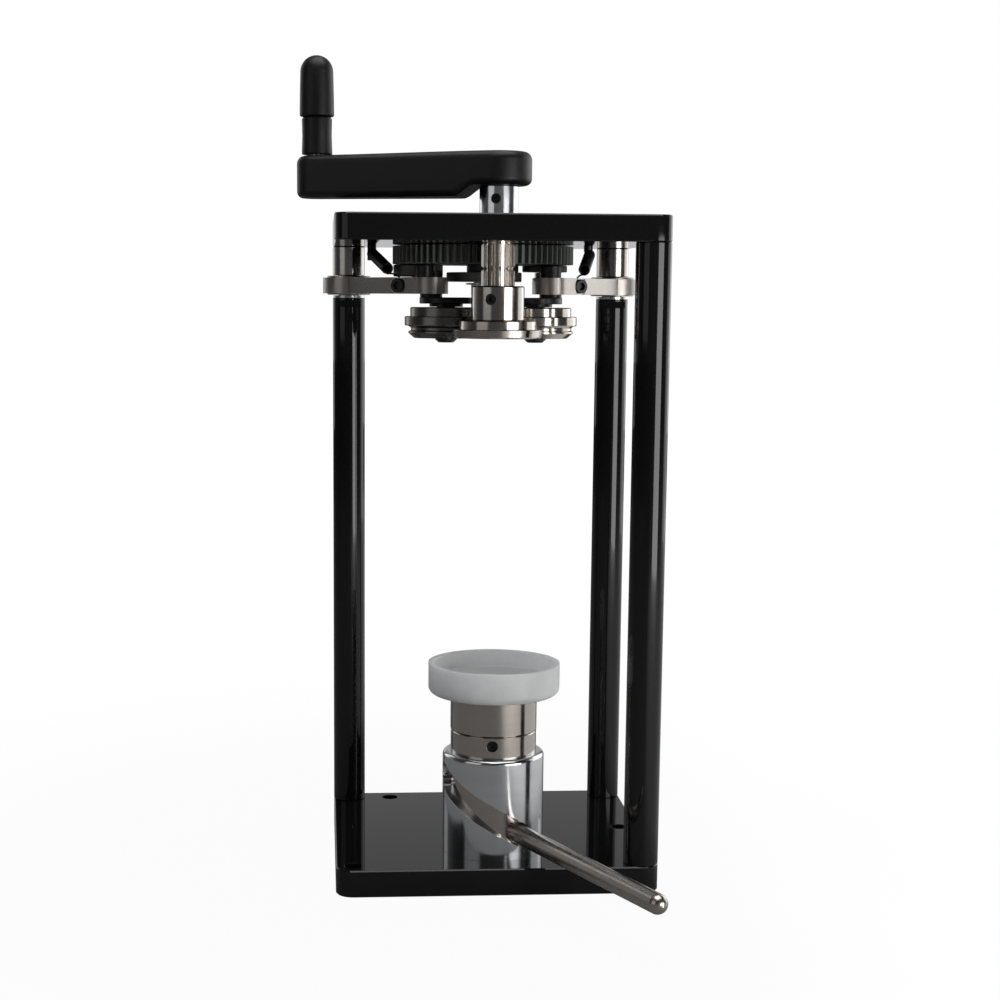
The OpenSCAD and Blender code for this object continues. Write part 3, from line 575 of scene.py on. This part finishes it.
def satin_steel(node):
    if node.endswith("_arm"):
        side = -1 if node.startswith("left") else 1
        joint = joints[node + "_swing"]["pos_m"]
        roll = joints[node.replace("_arm", "_roll_spin")]["pos_m"]
        turn = math.atan2(joint[1] - roll[1], side * abs(joint[0] - roll[0]))
        return brushed("satin_steel_" + node, (0.43, 0.40, 0.375), 0.34, (6 * MM, 0.3 * MM, 0.3 * MM), turn)
    return turned("satin_steel", node, (0.46, 0.43, 0.40), 0.16, 0.3 * MM, 0.0014 * MM)


def pinion_steel(node):
    return turned("pinion_steel", node, (0.66, 0.61, 0.56), 0.12, 0.35 * MM, 0.001 * MM, 0.2 * MM, 0.05)


def roll_steel(node):
    return turned("roll_steel", node, (0.22, 0.21, 0.195), 0.24, 0.3 * MM, 0.0016 * MM)


def gear_steel(node):
    return turned("gear_steel", node, (0.165, 0.175, 0.162), 0.62, 0.5 * MM, 0.002 * MM, 0.2 * MM, 0.1)


def lever_steel(node):
    """Long brush lines that run along the lever."""
    low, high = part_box(node)
    axis = joints["lever_turn"]["pos_m"]
    tip = Vector((high.x, low.y))
    turn = math.atan2(tip.y - axis[1], tip.x - axis[0])
    return brushed("lever_steel", (0.47, 0.435, 0.40), 0.24, (30 * MM, 0.35 * MM, 0.35 * MM), turn,
                   axis, 0.003 * MM, 0.0, (0.94, 1.05), 0.1)


def oxide(node):
    """Black oxide on small steel pieces, a little worn."""
    material, tree, shader = new_material("black_oxide", (0.020, 0.020, 0.022), 0.55, 0.33)
    wear = noise(tree, place(tree, (1.4 * MM,) * 3), 5.0, 0.65)
    tint(tree, shader, wear, (0.013, 0.013, 0.015), (0.038, 0.037, 0.037))
    tree.links.new(to_range(tree, wear, 0.26, 0.42), shader.inputs["Roughness"])
    bump(tree, shader, [(wear, 0.01 * MM)], 0.2 * MM)
    return material


def zinc(node):
    return brushed("zinc_plate", (0.60, 0.62, 0.64), 0.24, (1.2 * MM,) * 3, depth=0.006 * MM)


def bronze(node):
    return brushed("bronze", (0.50, 0.33, 0.15), 0.4, (0.6 * MM,) * 3, depth=0.02 * MM)


FINISHES = {
    "black_enamel": enamel, "black_moulding": moulding, "cup_nylon": nylon, "bright_chrome": chrome,
    "satin_steel": satin_steel, "turned_steel": turned_steel, "pinion_steel": pinion_steel,
    "gear_steel": gear_steel, "roll_steel": roll_steel, "black_oxide": oxide, "zinc_plate": zinc,
    "bronze": bronze, "lever_steel": lever_steel,
}
SHARED = {"black_enamel", "black_moulding", "black_oxide", "zinc_plate", "bronze"}
made = {}


def finish_for(slot, node):
    key = slot if slot in SHARED else (slot, node)
    if key not in made:
        made[key] = FINISHES[slot](node)
    return made[key]


def dress(piece, material):
    if not piece.material_slots:
        piece.data.materials.append(material)
    for place_for_material in piece.material_slots:
        place_for_material.material = material


# ---- Stage ----

def paper():
    """Pale paper. The camera sees it lit evenly, and the object gets a dimmer bounce, most from the right,
    where the paper's colour is painted lighter as painted light.
    """
    material, tree, shader = new_material("paper", (FLOOR_PAINTED_SHADE,) * 3, 0.0, 0.8)
    across = tree.nodes.new("ShaderNodeSeparateXYZ")
    tree.links.new(place(tree, (1, 1, 1)), across.inputs["Vector"])
    # Painted light: the bounce colour runs from dark on the left to light on the right.
    tint(tree, shader, across.outputs["X"], (FLOOR_PAINTED_SHADE,) * 3, (FLOOR_PAINTED_LIGHT,) * 3,
         FLOOR_PAINTED_LIGHT_FROM, FLOOR_PAINTED_LIGHT_TO)
    out = next(n for n in tree.nodes if n.type == "OUTPUT_MATERIAL")
    rays = tree.nodes.new("ShaderNodeLightPath")
    glow = tree.nodes.new("ShaderNodeEmission")
    seen = tree.nodes.new("ShaderNodeMixShader")
    both = tree.nodes.new("ShaderNodeMixShader")
    far = tree.nodes.new("ShaderNodeVectorMath")
    far.operation = "LENGTH"
    tree.links.new(place(tree, (1, 1, 1)), far.inputs[0])
    glow.inputs["Strength"].default_value = FLOOR_GLOW
    share = to_range(tree, far.outputs["Value"], *FLOOR_GLOW_SHARE, FLOOR_GLOW_NEAR, FLOOR_GLOW_FAR)
    tree.links.new(share, seen.inputs["Fac"])
    tree.links.new(shader.outputs["BSDF"], seen.inputs[1])
    tree.links.new(glow.outputs["Emission"], seen.inputs[2])
    tree.links.new(rays.outputs["Is Camera Ray"], both.inputs["Fac"])
    tree.links.new(shader.outputs["BSDF"], both.inputs[1])
    tree.links.new(seen.outputs["Shader"], both.inputs[2])
    tree.links.new(both.outputs["Shader"], out.inputs["Surface"])
    return material


def floor():
    disc = bpy.data.meshes.new("floor")
    work = bmesh.new()
    bmesh.ops.create_circle(work, cap_ends=True, segments=FLOOR_SEGMENTS, radius=FLOOR_RADIUS)
    work.to_mesh(disc)
    work.free()
    piece = bpy.data.objects.new("floor", disc)
    bpy.context.scene.collection.objects.link(piece)
    dress(piece, paper())


def area_light(name, place_at, target, size, power):
    lamp = bpy.data.lights.new(name, "AREA")
    lamp.shape = "RECTANGLE"
    lamp.size, lamp.size_y = size
    lamp.energy = power
    piece = bpy.data.objects.new(name, lamp)
    piece.location = place_at
    piece.rotation_mode = "QUATERNION"
    piece.rotation_quaternion = (Vector(target) - Vector(place_at)).to_track_quat("-Z", "Y")
    bpy.context.scene.collection.objects.link(piece)


def world():
    """White to the camera. The object reflects a darker front and a bright backdrop."""
    sky = bpy.data.worlds.new("studio")
    bpy.context.scene.world = sky
    sky.use_nodes = True
    tree = sky.node_tree
    tree.nodes.clear()
    out = tree.nodes.new("ShaderNodeOutputWorld")
    both = tree.nodes.new("ShaderNodeMixShader")
    seen = tree.nodes.new("ShaderNodeBackground")
    reflected = tree.nodes.new("ShaderNodeBackground")
    rays = tree.nodes.new("ShaderNodeLightPath")
    source = tree.nodes.new("ShaderNodeTexCoord")
    split = tree.nodes.new("ShaderNodeSeparateXYZ")
    shades = tree.nodes.new("ShaderNodeValToRGB")
    turned_to = tree.nodes.new("ShaderNodeMapRange")
    turned_to.inputs["From Min"].default_value = -1
    turned_to.inputs["From Max"].default_value = 1
    ramp = shades.color_ramp
    while len(ramp.elements) < len(ROOM_LEVELS):
        ramp.elements.new(0.5)
    for element, (spot, level) in zip(ramp.elements, ROOM_LEVELS):
        element.position = spot
        element.color = (level, level, level * ROOM_BLUE, 1)
    seen.inputs["Color"].default_value = (1, 1, 1, 1)
    tree.links.new(source.outputs["Generated"], split.inputs["Vector"])
    tree.links.new(split.outputs["Y"], turned_to.inputs["Value"])
    tree.links.new(turned_to.outputs["Result"], shades.inputs["Fac"])
    tree.links.new(shades.outputs["Color"], reflected.inputs["Color"])
    strength = to_range(tree, split.outputs["Z"], ROOM_LOW, ROOM_HIGH, ROOM_LOW_TO, ROOM_HIGH_FROM)
    tree.links.new(strength, reflected.inputs["Strength"])
    tree.links.new(rays.outputs["Is Camera Ray"], both.inputs["Fac"])
    tree.links.new(reflected.outputs["Background"], both.inputs[1])
    tree.links.new(seen.outputs["Background"], both.inputs[2])
    tree.links.new(both.outputs["Shader"], out.inputs["Surface"])


def camera():
    data = bpy.data.cameras.new("camera")
    data.sensor_width = 36
    data.lens = CAMERA_LENS
    data.shift_x, data.shift_y = CAMERA_SHIFT
    data.clip_start, data.clip_end = 0.01, 50
    heading, pitch = math.radians(CAMERA_HEADING), math.radians(CAMERA_PITCH)
    level_part = math.cos(pitch)
    ahead = Vector((math.sin(heading) * level_part, math.cos(heading) * level_part, math.sin(pitch)))
    piece = bpy.data.objects.new("camera", data)
    level = ahead.to_track_quat("-Z", "Y").to_matrix()
    piece.matrix_world = Matrix.Translation(CAMERA_PLACE) @ (
        level @ Matrix.Rotation(math.radians(CAMERA_ROLL), 3, "Z")).to_4x4()
    bpy.context.scene.collection.objects.link(piece)
    bpy.context.scene.camera = piece


# ---- Build ----

camera()
for light in LIGHTS:
    area_light(*light)
world()
floor()
bpy.context.scene.view_settings.view_transform = "Standard"

for node, piece in frame["nodes"].items():
    dress(piece, finish_for(slot_of[node], node))
for piece in [crank_arm(), *grip_pieces()]:
    dress(piece, finish_for("black_moulding", piece.name))
for piece in [spring("left", -1), spring("right", 1)]:
    dress(piece, finish_for("black_oxide", piece.name))
